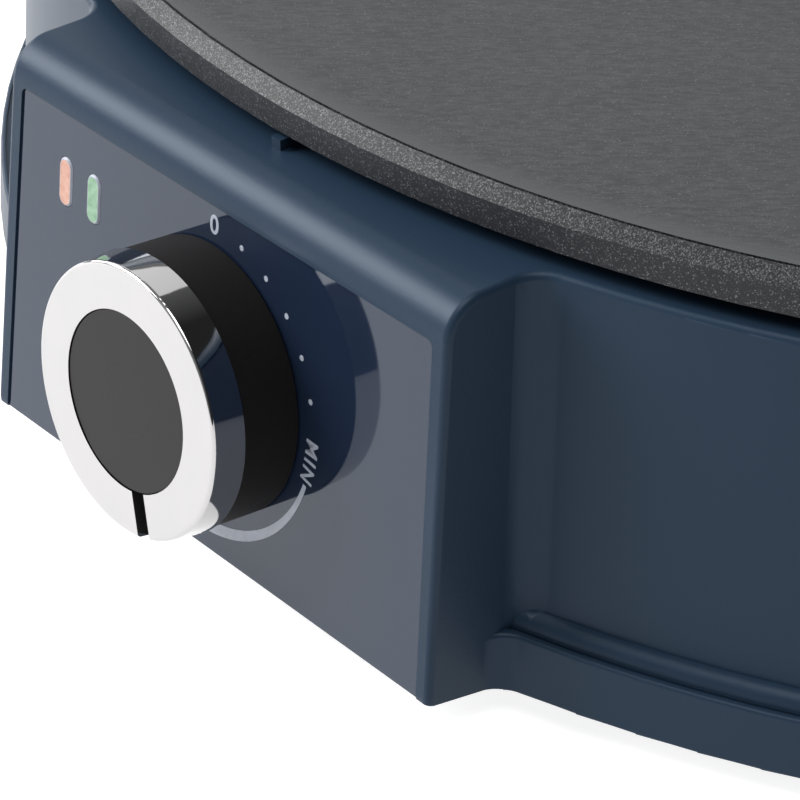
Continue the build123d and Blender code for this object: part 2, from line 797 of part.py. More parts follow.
with BuildPart() as bulb_clip:
    rise = plate_under_z - bulb_z
    with BuildSketch(Plane(origin=(bulb_x, clip_y, bulb_z), x_dir=(1, 0, 0), z_dir=(0, -1, 0))):
        Circle(clip_outer)
        with Locations((0, rise / 2)):
            Rectangle(2 * clip_outer, rise)
        with Locations((0, rise - clip_thickness / 2)):
            Rectangle(2 * (clip_outer + clip_foot), clip_thickness)
        Circle(clip_inner, mode=Mode.SUBTRACT)
        with Locations((0, rise / 2)):
            Rectangle(2 * clip_inner, rise, mode=Mode.SUBTRACT)
        with Locations((0, rise + clip_outer)):
            Rectangle(2 * clip_outer, 2 * clip_outer, mode=Mode.SUBTRACT)
    extrude(amount=clip_width / 2, both=True)
    with BuildSketch(Plane.XY.offset(plate_under_z)):
        with Locations(*under_screws[:2]):
            Circle(screw_radius + screw_gap)
    extrude(amount=-clip_thickness, mode=Mode.SUBTRACT)

save(bulb_clip.part, "bulb_clip")

with BuildPart() as safety_cutout:
    with BuildSketch(Plane(origin=(cutout_x, cutout_y, plate_under_z))):
        RectangleRounded(cutout_plate[0], cutout_plate[1], cutout_plate[1] / 3)
        with GridLocations(cutout_plate[0] - cutout_plate[1], 0, 2, 1):
            Circle(screw_radius + screw_gap, mode=Mode.SUBTRACT)
    extrude(amount=-cutout_plate[2])
    with BuildSketch(Plane(origin=(cutout_x, cutout_y, plate_under_z - cutout_plate[2]))):
        Circle(cutout_radius)
    extrude(amount=-cutout_height)
    with BuildSketch(Plane(origin=(cutout_x, cutout_y, plate_under_z - cutout_plate[2] - cutout_height))):
        with GridLocations(cutout_radius, 0, 2, 1):
            Rectangle(terminal_tab[1], terminal_tab[0])
    extrude(amount=-terminal_tab[2] / 2)

save(safety_cutout.part, "safety_cutout")

with BuildPart() as underside_screws:
    for screw_spots, held in ((under_screws[:2], clip_thickness), (under_screws[2:], cutout_plate[2])):
        with BuildSketch(Plane.XY.offset(plate_under_z - held)):
            with Locations(*screw_spots):
                Circle(under_head_radius)
        extrude(amount=-screw_head_height)
        with BuildSketch(Plane.XY.offset(plate_under_z - held)):
            with Locations(*screw_spots):
                Circle(screw_radius)
        extrude(amount=held + under_screw_depth - under_screw_end)

save(underside_screws.part, "underside_screws")


# ------------------------------------------------------------------- front panel
with BuildPart() as front_overlay:
    with BuildSketch(panel):
        add(overlay_outline(0, 0))
        add(window_outline(window_clearance), mode=Mode.SUBTRACT)
        with Locations((0, knob_level)):
            Circle(bush_radius + bush_hole_clearance, mode=Mode.SUBTRACT)
    extrude(amount=-overlay_thickness)

save(front_overlay.part, "front_overlay")

for lens_name, window_x in zip(("power_lens", "ready_lens"), window_centres):
    with BuildPart() as lens:
        with BuildSketch(panel):
            with Locations((window_x, window_level)):
                SlotOverall(window_height, window_width, rotation=90)
        extrude(amount=-box_front_wall)
        with BuildSketch(panel):
            with Locations((window_x, window_level)):
                SlotOverall(window_height, window_width, rotation=90)
        extrude(amount=lens_dome, taper=lens_taper)
        with BuildSketch(panel.offset(-box_front_wall)):
            with Locations((window_x, window_level)):
                SlotOverall(window_height + 2 * lens_flange, window_width + 2 * lens_flange, rotation=90)
        extrude(amount=-lens_flange_thickness)
    save(lens.part, lens_name)

holder_front = -box_front_wall - lens_flange_thickness
holder_x = sum(window_centres) / 2
holder_width = abs(window_centres[1] - window_centres[0]) + 2 * holder_margin
with BuildPart() as lamp_holder:
    with BuildSketch(panel.offset(holder_front)):
        with Locations((holder_x, window_level)):
            RectangleRounded(holder_width, holder_height, holder_corner)
        with Locations(*[(x, window_level) for x in window_centres]):
            Circle(lamp_radius + lamp_fit, mode=Mode.SUBTRACT)
    extrude(amount=-holder_depth)

save(lamp_holder.part, "lamp_holder")

for lamp_name, window_x in zip(("power_lamp", "ready_lamp"), window_centres):
    with BuildPart() as lamp:
        with BuildSketch(panel.offset(holder_front - lamp_fit)):
            with Locations((window_x, window_level)):
                Circle(lamp_radius)
        extrude(amount=-lamp_length)
        fillet(lamp.edges().sort_by(Axis.Y)[0], lamp_round)
    save(lamp.part, lamp_name)


# -------------------------------------------------------------------- thermostat
bracket_w = -box_front_wall - bracket_thickness
with BuildPart() as thermostat_bracket:
    with BuildSketch(dial.offset(-box_front_wall)):
        RectangleRounded(2 * bracket_half_width, 2 * bracket_half_height, bracket_corner)
        with Locations((-bracket_screw_x, 0), (bracket_screw_x, 0)):
            Circle(screw_radius + screw_gap, mode=Mode.SUBTRACT)
    extrude(amount=-bracket_thickness)
    with BuildSketch(dial.offset(-box_front_wall)):
        Circle(bush_radius)
    extrude(amount=box_front_wall - bush_stop)
    with BuildSketch(dial):
        Circle(shaft_radius + shaft_fit)
    extrude(amount=-2 * box_front_wall, mode=Mode.SUBTRACT)

save(thermostat_bracket.part, "thermostat_bracket")

with BuildPart() as bracket_screws:
    screw_top = dial.offset(-overlay_thickness - screw_gap)
    head_radius = screw_head_radius - 2 * screw_gap
    screw_reach = box_front_wall - overlay_thickness + bracket_thickness + bracket_screw_length
    for screw_x in (-bracket_screw_x, bracket_screw_x):
        with BuildSketch(screw_top):
            with Locations((screw_x, 0)):
                Circle(screw_radius)
        extrude(amount=-screw_reach)
        with BuildSketch(screw_top):
            with Locations((screw_x, 0)):
                Circle(head_radius)
        extrude(amount=screw_radius - head_radius, taper=countersink_taper)

save(bracket_screws.part, "bracket_screws")

with BuildPart() as thermostat_body:
    with BuildSketch(dial.offset(bracket_w)):
        RectangleRounded(thermostat_size, thermostat_size, thermostat_corner)
    extrude(amount=-thermostat_depth)
    with BuildSketch(dial.offset(bracket_w)):
        Circle(shaft_radius + shaft_fit)
    extrude(amount=-shaft_inside - past, mode=Mode.SUBTRACT)

save(thermostat_body.part, "thermostat_body")

with BuildPart() as thermostat_terminals:
    with BuildSketch(dial.offset(bracket_w - thermostat_depth)):
        with Locations((0, -thermostat_size / 4)):
            with GridLocations(thermostat_size / 2, 0, 2, 1):
                Rectangle(terminal_tab[0], terminal_tab[1])
    extrude(amount=-terminal_tab[2])

save(thermostat_terminals.part, "thermostat_terminals")

with BuildPart() as capillary_tube:
    leave = dial.from_local_coords(Vector(bulb_x, thermostat_size / 2, bracket_w - thermostat_depth / 2))
    rise_by = (capillary_z - leave.Z) / dial.y_dir.Z
    turn = leave + dial.y_dir * rise_by
    step_end = -bulb_end_reach - capillary_bend
    step = bulb_z - capillary_z
    with BuildLine() as route:
        FilletPolyline(
            leave,
            turn,
            (bulb_x, step_end - capillary_slope * step, capillary_z),
            (bulb_x, step_end, bulb_z),
            (bulb_x, -bulb_end_reach, bulb_z),
            radius=capillary_bend,
        )
    with BuildSketch(Plane(origin=leave, x_dir=(1, 0, 0), z_dir=dial.y_dir)):
        Circle(capillary_radius)
    sweep(path=route.wires()[0])

save(capillary_tube.part, "capillary_tube")


# -------------------------------------------------------------------------- knob
section = Plane(origin=knob_origin, x_dir=dial.x_dir, z_dir=-dial.y_dir)
turning_axis = Axis(knob_origin, dial.z_dir)
knob_front = ring_height - ring_face_thickness
ring_seat = ring_back_radius - ring_side_thickness
pointer_plane = Plane(
    origin=knob_origin,
    x_dir=dial.x_dir * sin(radians(pointer_angle)) + dial.y_dir * cos(radians(pointer_angle)),
    z_dir=dial.z_dir,
)

with BuildPart() as thermostat_shaft:
    with BuildSketch(dial.offset(bracket_w - shaft_inside)):
        Circle(shaft_radius)
    extrude(amount=shaft_inside - bracket_w + shaft_reach)
    with BuildSketch(pointer_plane.offset(hub_start)):
        with Locations((shaft_radius, 0)):
            Rectangle(2 * shaft_flat, 3 * shaft_radius)
    extrude(amount=shaft_reach, mode=Mode.SUBTRACT)

save(thermostat_shaft.part, "thermostat_shaft")

with BuildPart() as knob_body:
    with BuildSketch(section):
        with BuildLine():
            ceiling = knob_front - knob_front_thickness
            Polyline(
                (knob_radius, knob_lift),
                (knob_radius, knob_body_height),
                (ring_seat - shaft_fit, knob_body_height),
                (ring_seat - shaft_fit, knob_front),
                (0, knob_front),
                (0, ceiling),
                (knob_radius - knob_wall, ceiling),
                (knob_radius - knob_wall, knob_lift),
                close=True,
            )
        make_face()
    revolve(axis=turning_axis)
    # Rib that fills the ring's pointer slit out to its side.
    slit_rib = ring_front_radius - ring_seat + knob_wall
    with BuildSketch(pointer_plane.offset(knob_body_height)):
        with Locations((ring_front_radius - slit_rib / 2, 0)):
            Rectangle(slit_rib, pointer_width - 2 * shaft_fit)
    extrude(amount=knob_front - knob_body_height)
    with BuildSketch(dial.offset(hub_start)):
        Circle(hub_radius)
    extrude(amount=ceiling - hub_start)
    with BuildSketch(dial.offset(hub_start + knob_body_height / 3)):
        for turn_by in (0, 90):
            Rectangle(knob_radius - knob_wall + ring_seat - shaft_fit, knob_rib, rotation=turn_by)
    extrude(amount=ceiling - hub_start - knob_body_height / 3)
    with BuildSketch(pointer_plane.offset(hub_start)):
        Circle(shaft_radius + hub_fit)
        with Locations((2 * shaft_radius - shaft_flat + hub_fit, 0)):
            Rectangle(2 * shaft_radius, 3 * shaft_radius, mode=Mode.SUBTRACT)
    extrude(amount=shaft_reach - hub_start + 2 * hub_fit, mode=Mode.SUBTRACT)

save(knob_body.part, "knob_body")

with BuildPart() as knob_ring:
    with BuildSketch(section):
        with BuildLine():
            Polyline(
                (ring_seat, knob_body_height),
                (ring_back_radius, knob_body_height),
                (ring_front_radius, ring_height),
                (ring_inner_radius, ring_height),
                (ring_inner_radius, knob_front),
                (ring_seat, knob_front),
                close=True,
            )
        make_face()
        fillet(vertices().filter_by(lambda v: v.X > ring_seat).sort_by(Axis.Y)[-1], ring_front_round)
    revolve(axis=turning_axis)
    with BuildSketch(pointer_plane):
        with Locations(((ring_inner_radius + ring_back_radius) / 2, 0)):
            Rectangle(ring_back_radius, pointer_width)
    extrude(amount=2 * ring_height, mode=Mode.SUBTRACT)

save(knob_ring.part, "knob_ring")

with BuildPart() as knob_cap:
    with BuildSketch(dial.offset(knob_front)):
        Circle(cap_radius)
    extrude(amount=ring_face_thickness - cap_recess)
    fillet(knob_cap.edges().sort_by(lambda e: -e.center().Y)[-1], cap_edge_round)

save(knob_cap.part, "knob_cap")


# ----------------------------------------------------------- mains connection
with BuildPart() as terminal_block:
    with BuildSketch(Plane(origin=(0, block_y, bowl_under_z))):
        RectangleRounded(block_size[0], block_size[1], block_corner)
    extrude(amount=-block_size[2])
    middle_z = bowl_under_z - block_size[2] / 2
    with BuildSketch(Plane(origin=(0, block_y, middle_z), x_dir=(1, 0, 0), z_dir=(0, -1, 0))):
        with GridLocations(block_pitch, 0, block_ways, 1):
            Circle(block_bore)
    extrude(amount=block_size[1], both=True, mode=Mode.SUBTRACT)
    with BuildSketch(Plane(origin=(0, block_y, bowl_under_z - block_size[2]))):
        with GridLocations(block_pitch, block_size[1] / 2, block_ways, 2):
            Circle(screw_pilot_radius)
    extrude(amount=block_size[2] / 2, mode=Mode.SUBTRACT)
    with BuildSketch(Plane(origin=(block_screw_x, block_y, bowl_under_z))):
        Circle(screw_radius + screw_gap)
    extrude(amount=-block_size[2], mode=Mode.SUBTRACT)

save(terminal_block.part, "terminal_block")

with BuildPart() as block_screw:
    with BuildSketch(Plane(origin=(block_screw_x, block_y, bowl_under_z - block_size[2]))):
        Circle(under_head_radius)
    extrude(amount=-screw_head_height)
    fillet(block_screw.edges().group_by(Axis.Z)[0], screw_head_height / 2)
    with BuildSketch(Plane(origin=(block_screw_x, block_y, bowl_under_z - block_size[2]))):
        Circle(screw_radius)
    extrude(amount=block_size[2] + deck_thickness)

save(block_screw.part, "block_screw")

gland_face_y = drum_radius(gland_z - gland_flange_radius) + gland_hole_clearance
gland_wall_y = drum_radius(gland_z + gland_flange_radius) - base_wall - gland_hole_clearance
with BuildPart() as cord_gland:
    with BuildSketch(Plane(origin=(0, 0, gland_z), x_dir=(1, 0, 0), z_dir=(0, 0, 1))):
        with BuildLine():
            Polyline(
                (gland_bore_radius, gland_wall_y - gland_inner_length),
                (gland_neck_radius, gland_wall_y - gland_inner_length),
                (gland_neck_radius, gland_face_y),
                (gland_flange_radius, gland_face_y),
                (gland_flange_radius, gland_face_y + gland_flange_thickness / 2),
                (gland_bore_radius + gland_chamfer, gland_face_y + gland_flange_thickness),
                (gland_bore_radius, gland_face_y + gland_flange_thickness),
                close=True,
            )
        make_face()
    revolve(axis=Axis((0, 0, gland_z), (0, 1, 0)))

save(cord_gland.part, "cord_gland")

with BuildPart() as gland_nut:
    with BuildSketch(Plane(origin=(0, gland_wall_y, gland_z), z_dir=(0, -1, 0))):
        RegularPolygon(gland_flange_radius, 6, major_radius=False)
        Circle(gland_neck_radius + stud_clearance, mode=Mode.SUBTRACT)
    extrude(amount=gland_inner_length / 2)

save(gland_nut.part, "gland_nut")
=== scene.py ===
import json
from math import atan2, cos, degrees, radians, sin

import bmesh
import bpy
from mathutils import Matrix, Vector


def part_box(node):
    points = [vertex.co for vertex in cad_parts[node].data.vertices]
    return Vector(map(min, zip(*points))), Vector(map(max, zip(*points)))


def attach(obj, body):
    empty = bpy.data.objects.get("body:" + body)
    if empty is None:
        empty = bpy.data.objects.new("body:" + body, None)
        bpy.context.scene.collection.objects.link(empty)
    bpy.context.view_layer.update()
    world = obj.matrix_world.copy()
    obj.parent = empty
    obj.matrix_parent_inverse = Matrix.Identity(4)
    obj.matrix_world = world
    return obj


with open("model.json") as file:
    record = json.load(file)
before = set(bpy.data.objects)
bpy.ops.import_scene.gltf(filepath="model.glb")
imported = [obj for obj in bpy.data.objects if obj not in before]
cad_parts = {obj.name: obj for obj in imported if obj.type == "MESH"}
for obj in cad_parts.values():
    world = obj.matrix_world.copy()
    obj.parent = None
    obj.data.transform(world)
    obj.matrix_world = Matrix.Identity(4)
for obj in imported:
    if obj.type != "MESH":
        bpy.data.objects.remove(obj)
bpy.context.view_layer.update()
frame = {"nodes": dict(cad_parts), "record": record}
nodes = frame["nodes"]


# ---------------------------------------------------------------- drum base
# One moulding with the drum, the stepped skirt and the control box. It is
# injection-moulded ABS, coloured through, with a fine satin grain from the mould
# that gives broad soft highlights instead of mirror ones.
def linear(hex_colour):
    """sRGB hex to a linear colour with alpha 1."""
    channels = [int(hex_colour[i:i + 2], 16) / 255 for i in (1, 3, 5)]
    return tuple(c / 12.92 if c <= 0.04045 else ((c + 0.055) / 1.055) ** 2.4 for c in channels) + (1.0,)


def add(tree, kind, inputs=None, **settings):
    """Adds a shader node with its settings, and fills or links its inputs."""
    node = tree.nodes.new(kind)
    for name, value in settings.items():
        setattr(node, name, value)
    for socket, value in (inputs or {}).items():
        if isinstance(value, bpy.types.NodeSocket):
            tree.links.new(value, node.inputs[socket])
        else:
            node.inputs[socket].default_value = value
    return node


def new_material(name, **sockets):
    """An empty material with its shader's own sockets set, and its Object coordinates."""
    material = bpy.data.materials.new(name)
    material.use_nodes = True
    tree = material.node_tree
    shader = tree.nodes["Principled BSDF"]
    for socket, value in sockets.items():
        shader.inputs[socket.replace("_", " ")].default_value = value
    place = add(tree, "ShaderNodeTexCoord").outputs["Object"]
    return material, tree, shader, place


def dress(material, *names):
    """Gives CAD nodes their material."""
    for name in names:
        nodes[name].data.materials.clear()
        nodes[name].data.materials.append(material)


def grains(size_mm):
    """Scale of a pattern whose grains or waves are this many millimetres across."""
    return 1000 / size_mm


# Both navy plastics gleam a little cooler than the lamps that light them.
COOL_GLOSS = linear("#E5F1FF")
moulded_abs, tree, shader, place = new_material(
    "satin_moulded_abs", IOR=1.52, Specular_IOR_Level=0.17, Specular_Tint=COOL_GLOSS
)
cloud = add(tree, "ShaderNodeTexNoise", {"Vector": place, "Scale": grains(71.4), "Detail": 3.0})
tint = add(
    tree, "ShaderNodeMix", {"Factor": cloud.outputs["Fac"], "A": linear("#1B2938"), "B": linear("#1E2D3D")},
    data_type="RGBA",
)
tree.links.new(tint.outputs["Result"], shader.inputs["Base Color"])
# Mould grain is about 0.25 mm; it is drawn at 0.6 mm so that it shows.
grain = add(tree, "ShaderNodeTexNoise", {"Vector": place, "Scale": grains(0.625), "Detail": 2.0})
satin = add(tree, "ShaderNodeMapRange", {"Value": cloud.outputs["Fac"], "To Min": 0.34, "To Max": 0.42})
tree.links.new(satin.outputs["Result"], shader.inputs["Roughness"])
bump = add(tree, "ShaderNodeBump", {"Height": grain.outputs["Fac"], "Strength": 0.10, "Distance": 0.0002})
tree.links.new(bump.outputs["Normal"], shader.inputs["Normal"])
dress(moulded_abs, "base_housing")


# -------------------------------------------------------------- cooking plate
# A cast aluminium disc, turned on its face and rim, then sprayed with a dark
# non-stick coating. The coating carries mica flakes, and the ones that catch the
# light are painted pale as painted glints, most on the bevel; the face shows short
# fine strokes from wiping and a paler turned edge.
BEVEL_WIDTH = 0.0025
BEVEL_HEIGHT = 0.00185
TURNED_BAND = 0.0045
STROKE_LENGTH_MM = 2.0
STROKE_WIDTH_MM = 0.5
STROKE_LEAN = radians(50)
plate_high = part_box("cooking_plate")[1]
face_edge = plate_high[0] - BEVEL_WIDTH
bevel_foot = plate_high[2] - BEVEL_HEIGHT
coating, tree, shader, place = new_material("nonstick_coating", IOR=1.45, Specular_IOR_Level=0.25)
spot = add(tree, "ShaderNodeSeparateXYZ", {"Vector": place})
flat = add(tree, "ShaderNodeCombineXYZ", {"X": spot.outputs["X"], "Y": spot.outputs["Y"]})
reach = add(tree, "ShaderNodeVectorMath", {0: flat.outputs["Vector"]}, operation="LENGTH")
# Wiping strokes are hair-fine; they are drawn 2 mm long and 0.5 mm wide so that they show.
stretched = add(
    tree, "ShaderNodeMapping",
    {
        "Vector": place,
        "Rotation": (0.0, 0.0, STROKE_LEAN),
        "Scale": (1.0, STROKE_WIDTH_MM / STROKE_LENGTH_MM, 1.0),
    },
    vector_type="TEXTURE",
)
strokes = add(
    tree, "ShaderNodeTexNoise",
    {"Vector": stretched.outputs["Vector"], "Scale": grains(STROKE_LENGTH_MM), "Detail": 4.0},
)
mottle = add(tree, "ShaderNodeTexNoise", {"Vector": place, "Scale": grains(33.3), "Detail": 4.0})
# Mica flakes are about 0.05 mm; they are drawn at 0.16 mm so that they show.
flakes = add(tree, "ShaderNodeTexVoronoi", {"Vector": place, "Scale": grains(0.16129)})
flake = add(tree, "ShaderNodeTexWhiteNoise", {"Vector": flakes.outputs["Color"]}, noise_dimensions="3D")
on_face = add(tree, "ShaderNodeMath", {0: reach.outputs["Value"], 1: face_edge}, operation="LESS_THAN")
on_bevel = add(tree, "ShaderNodeMath", {0: spot.outputs["Z"], 1: bevel_foot}, operation="GREATER_THAN")
face_tone = add(
    tree, "ShaderNodeMapRange", {"Value": strokes.outputs["Fac"], "From Min": 0.38, "From Max": 0.66}
)
face_colour = add(
    tree, "ShaderNodeMix",
    {"Factor": face_tone.outputs["Result"], "A": linear("#323435"), "B": linear("#3F4142")},
    data_type="RGBA",
)
turned = add(
    tree, "ShaderNodeMapRange",
    {"Value": reach.outputs["Value"], "From Min": face_edge - TURNED_BAND, "From Max": face_edge},
)
# The brightest flakes are painted pale, as painted glints where they catch the light.
# The higher the power, the fewer flakes are painted so: about one in thirty on the face,
# one in fifteen on the wall and one in five on the bevel.
FACE_GLINT_POWER, WALL_GLINT_POWER, BEVEL_GLINT_POWER = 30.0, 14.0, 4.0
# Painted glints on the face: its brightest flakes are painted a pale grey.
face_painted_glints = add(tree, "ShaderNodeMath", {0: flake.outputs["Value"], 1: FACE_GLINT_POWER}, operation="POWER")
dotted = add(
    tree, "ShaderNodeMix",
    {"Factor": face_painted_glints.outputs["Value"], "A": face_colour.outputs["Result"], "B": linear("#5C5E60")},
    data_type="RGBA",
)
paler = add(
    tree, "ShaderNodeMix",
    {"Factor": turned.outputs["Result"], "A": dotted.outputs["Result"], "B": linear("#444647")},
    data_type="RGBA",
)
# Painted glints on the wall: its brightest flakes are painted a pale grey.
wall_painted_glints = add(tree, "ShaderNodeMath", {0: flake.outputs["Value"], 1: WALL_GLINT_POWER}, operation="POWER")
wall_colour = add(
    tree, "ShaderNodeMix",
    {"Factor": wall_painted_glints.outputs["Value"], "A": linear("#222326"), "B": linear("#6A6C6F")},
    data_type="RGBA",
)
# Painted glints on the bevel: its brightest flakes are painted a pale grey.
bevel_painted_glints = add(tree, "ShaderNodeMath", {0: flake.outputs["Value"], 1: BEVEL_GLINT_POWER}, operation="POWER")
bevel_colour = add(
    tree, "ShaderNodeMix",
    {"Factor": bevel_painted_glints.outputs["Value"], "A": linear("#141517"), "B": linear("#595B5D")},
    data_type="RGBA",
)
edge = add(
    tree, "ShaderNodeMix",
    {
        "Factor": on_bevel.outputs["Value"],
        "A": wall_colour.outputs["Result"],
        "B": bevel_colour.outputs["Result"],
    },
    data_type="RGBA",
)
skin = add(
    tree, "ShaderNodeMix",
    {"Factor": on_face.outputs["Value"], "A": edge.outputs["Result"], "B": paler.outputs["Result"]},
    data_type="RGBA",
)
tree.links.new(skin.outputs["Result"], shader.inputs["Base Color"])
sheen = add(tree, "ShaderNodeMapRange", {"Value": mottle.outputs["Fac"], "To Min": 0.42, "To Max": 0.58})
tree.links.new(sheen.outputs["Result"], shader.inputs["Roughness"])
rough = add(tree, "ShaderNodeMath", {0: strokes.outputs["Fac"], 1: flake.outputs["Value"]}, operation="ADD")
bump = add(tree, "ShaderNodeBump", {"Height": rough.outputs["Value"], "Strength": 0.12, "Distance": 0.0001})
tree.links.new(bump.outputs["Normal"], shader.inputs["Normal"])
dress(coating, "cooking_plate")


# -------------------------------------------------------------- front panel
# A screen-printed polycarbonate panel let into the leaning front. Its surface is
# clear and glossy over a navy ground, so it mirrors the table and the knob.
panel_film, tree, shader, place = new_material(
    "glossy_polycarbonate", Roughness=0.05, IOR=1.58, Specular_IOR_Level=0.42, Specular_Tint=COOL_GLOSS
)
cloud = add(tree, "ShaderNodeTexNoise", {"Vector": place, "Scale": grains(40), "Detail": 2.0})
tint = add(
    tree, "ShaderNodeMix", {"Factor": cloud.outputs["Fac"], "A": linear("#131C2C"), "B": linear("#172132")},
    data_type="RGBA",
)
tree.links.new(tint.outputs["Result"], shader.inputs["Base Color"])
ripple = add(tree, "ShaderNodeTexNoise", {"Vector": place, "Scale": grains(16.7), "Detail": 1.0})
bump = add(tree, "ShaderNodeBump", {"Height": ripple.outputs["Fac"], "Strength": 0.02, "Distance": 0.0005})
tree.links.new(bump.outputs["Normal"], shader.inputs["Normal"])
dress(panel_film, "front_overlay")


# ------------------------------------------------------------------ dial print
# The temperature marks are screen-printed in pale grey ink round the knob: a nought
# at the top, five dots, MIN, a widening arc and MAX. The ink stands a few
# hundredths of a millimetre proud of the panel.
turning = frame["record"]["behaviour"]["joints"][0]
KNOB_CENTRE = Vector(turning["pos_m"])
ACROSS = Vector((1, 0, 0))
OUT = -Vector(turning["axis"])
UP_FRONT = OUT.cross(ACROSS)
DIAL_RADIUS = 0.0224
# Thickness of the ink, and how far it spreads past a letter's outline.
INK, BOLDER = 0.00003, 0.00007
ink, tree, shader, place = new_material("screen_ink", Roughness=0.35, IOR=1.5)
patch = add(tree, "ShaderNodeTexNoise", {"Vector": place, "Scale": grains(1.111), "Detail": 2.0})
tint = add(
    tree, "ShaderNodeMix", {"Factor": patch.outputs["Fac"], "A": linear("#868C98"), "B": linear("#9AA0AB")},
    data_type="RGBA",
)
tree.links.new(tint.outputs["Result"], shader.inputs["Base Color"])


def print_on_panel(name, form):
    """Makes a piece of ink on the base from a form drawn flat round the dial's centre."""
    mesh = bpy.data.meshes.new(name)
    form.to_mesh(mesh)
    form.free()
    turn = Matrix((ACROSS, UP_FRONT, OUT)).transposed().to_4x4()
    mesh.transform(Matrix.Translation(KNOB_CENTRE) @ turn)
    mesh.materials.append(ink)
    piece = bpy.data.objects.new(name, mesh)
    bpy.context.scene.collection.objects.link(piece)
    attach(piece, "base")


def print_word(name, text, size, radius, clockwise, pitch):
    """Prints a word whose letters follow each other round the dial, tops outward."""
    form = bmesh.new()
    for number, character in enumerate(text):
        curve = bpy.data.curves.new(name, "FONT")
        curve.body = character
        curve.size = size
        curve.align_x = "CENTER"
        curve.align_y = "CENTER"
        curve.offset = BOLDER
        curve.extrude = INK / 2
        lettering = bpy.data.objects.new(name, curve)
        bpy.context.scene.collection.objects.link(lettering)
        mesh = bpy.data.meshes.new_from_object(lettering)
        bpy.data.objects.remove(lettering)
        turn_by = clockwise + pitch * (number - (len(text) - 1) / 2)
        around = Matrix.Rotation(-radians(turn_by), 4, "Z")
        mesh.transform(around @ Matrix.Translation((0, radius, INK)))
        form.from_mesh(mesh)
    print_on_panel(name, form)


print_word("dial_nought", "0", size=0.0039, radius=0.0225, clockwise=-1.0, pitch=0.0)
print_word("dial_min", "MIN", size=0.0034, radius=DIAL_RADIUS, clockwise=98.0, pitch=5.5)
print_word("dial_max", "MAX", size=0.0034, radius=DIAL_RADIUS, clockwise=285.0, pitch=6.0)

DOTS_CLOCKWISE = (14.5, 29.5, 44.5, 59.5, 75.0)
DOT_FOOT, DOT_TOP = 0.00043, 0.00041
form = bmesh.new()
for clockwise in DOTS_CLOCKWISE:
    angle = radians(90 - clockwise)
    spot_at = Matrix.Translation((DIAL_RADIUS * cos(angle), DIAL_RADIUS * sin(angle), INK))
    bmesh.ops.create_cone(
        form, cap_ends=True, segments=20, radius1=DOT_FOOT, radius2=DOT_TOP, depth=INK, matrix=spot_at
    )
print_on_panel("dial_dots", form)

# The arc is a thin strip spun clockwise round the dial, then widened outward as it goes.
ARC_START, ARC_END = 108.0, 275.0
ARC_INNER, ARC_OUTER, ARC_GROWTH = 0.0223, 0.0230, 0.000018
form = bmesh.new()
start = radians(90 - ARC_START)
ends = [form.verts.new((r * cos(start), r * sin(start), INK)) for r in (ARC_INNER, ARC_OUTER)]
strip = [form.edges.new(ends)]
sweep = radians(ARC_END - ARC_START)
bmesh.ops.spin(form, geom=ends + strip, cent=(0, 0, 0), axis=(0, 0, -1), angle=sweep, steps=90)
for vert in form.verts:
    if vert.co.xy.length > (ARC_INNER + ARC_OUTER) / 2:
        clockwise = (90 - degrees(atan2(vert.co.y, vert.co.x))) % 360
        vert.co.xy = vert.co.xy.normalized() * (ARC_OUTER + ARC_GROWTH * (clockwise - ARC_START))
bmesh.ops.solidify(form, geom=form.faces[:], thickness=INK / 2)
bmesh.ops.recalc_face_normals(form, faces=form.faces[:])
print_on_panel("dial_arc", form)


# ------------------------------------------------------------------ lamp lenses
# Two pill-shaped acrylic lenses, salmon for power and green for ready, pressed in
# from behind. They are moulded clear with a tint. Their bevelled rims are painted
# pale grey: a painted highlight for the light that runs out there.
WINDOW_RISE = 0.015
window_z = (KNOB_CENTRE + UP_FRONT * WINDOW_RISE).z
